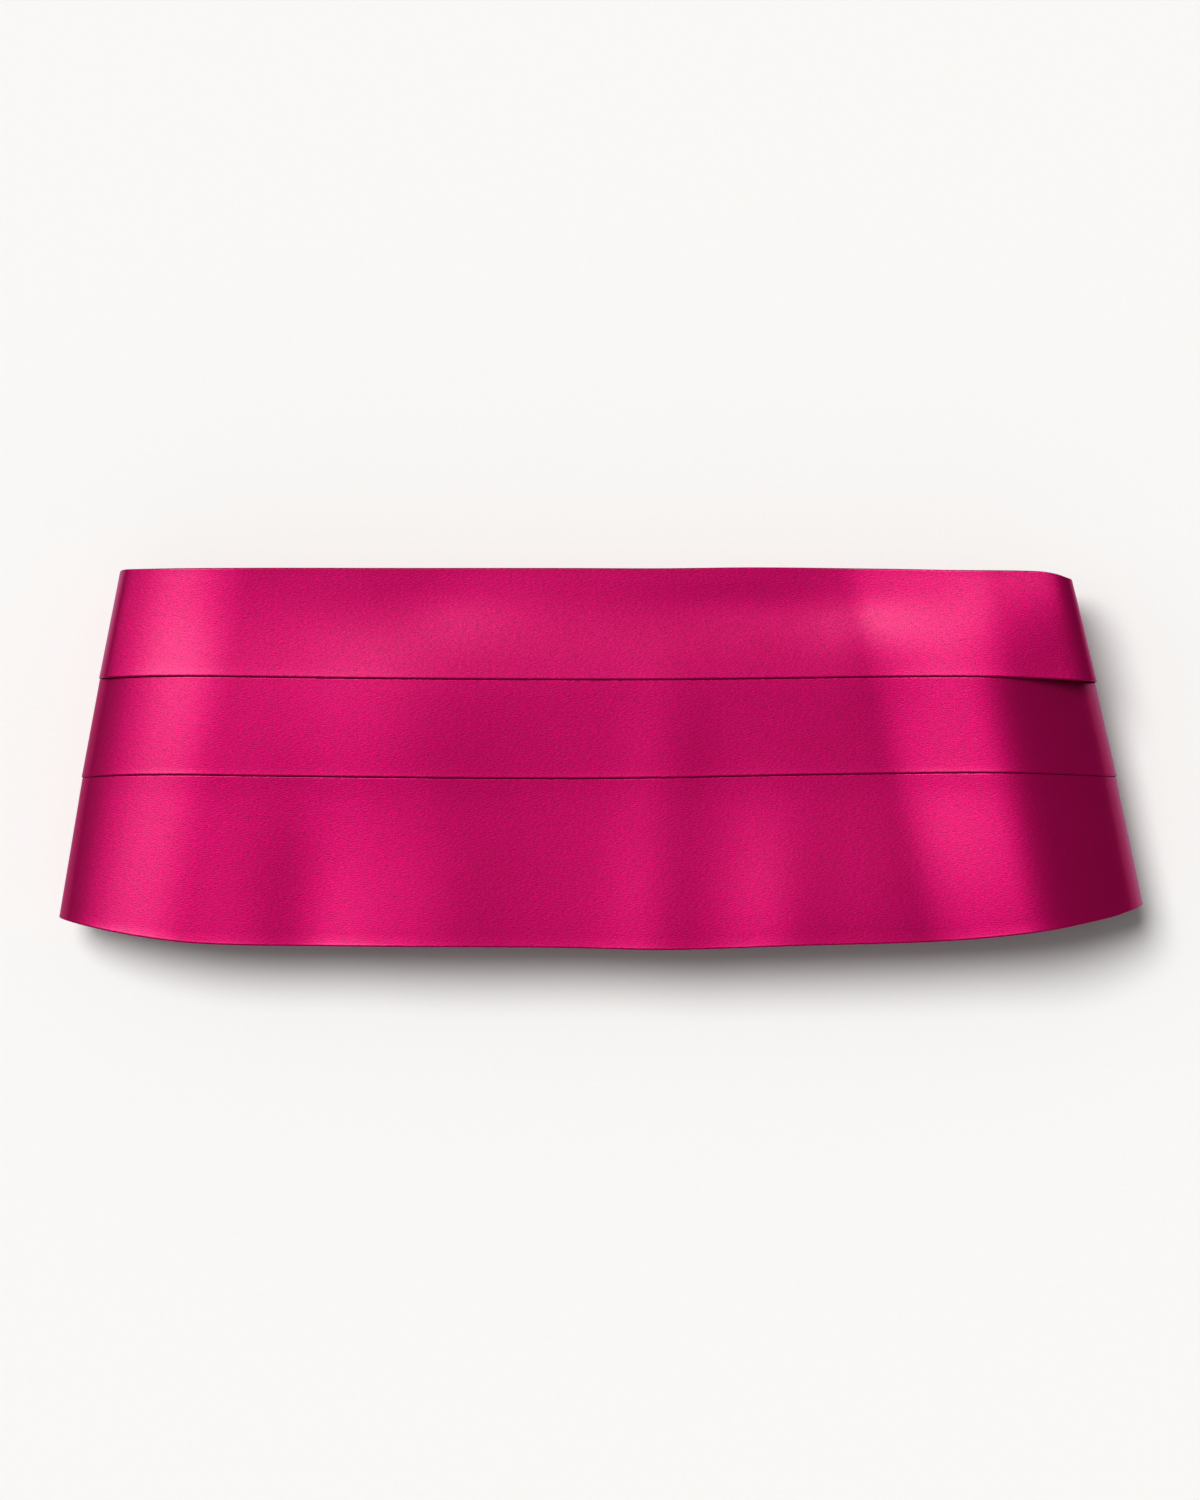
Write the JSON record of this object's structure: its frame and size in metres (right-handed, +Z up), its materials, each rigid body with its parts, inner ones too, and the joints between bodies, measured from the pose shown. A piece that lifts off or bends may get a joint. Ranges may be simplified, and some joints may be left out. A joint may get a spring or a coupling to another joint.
{
  "type": "cummerbund",
  "caption": "Pleated satin waist sash lying on its back, its ends rolled behind it and joined by straps with a hook and ring.",
  "frame": {"origin": "middle of the underside, on the surface the sash lies on", "axes": "+X across the sash to its right end as seen from above, +Y from the hem to the top edge, +Z up off the surface, out of the front"},
  "size_m": [0.3658, 0.1286, 0.0433],
  "materials": {
    "cerise_satin": "satin",
    "plated_steel": "plated"
  },
  "bodies": {
    "root": {"pleat_top": "cerise_satin", "pleat_middle": "cerise_satin", "pleat_bottom": "cerise_satin", "end_tab_left": "cerise_satin", "end_tab_right": "cerise_satin", "strap_left": "cerise_satin", "strap_right": "cerise_satin", "strap_eye": "plated_steel", "strap_hook": "plated_steel"}
  },
  "joints": []
}
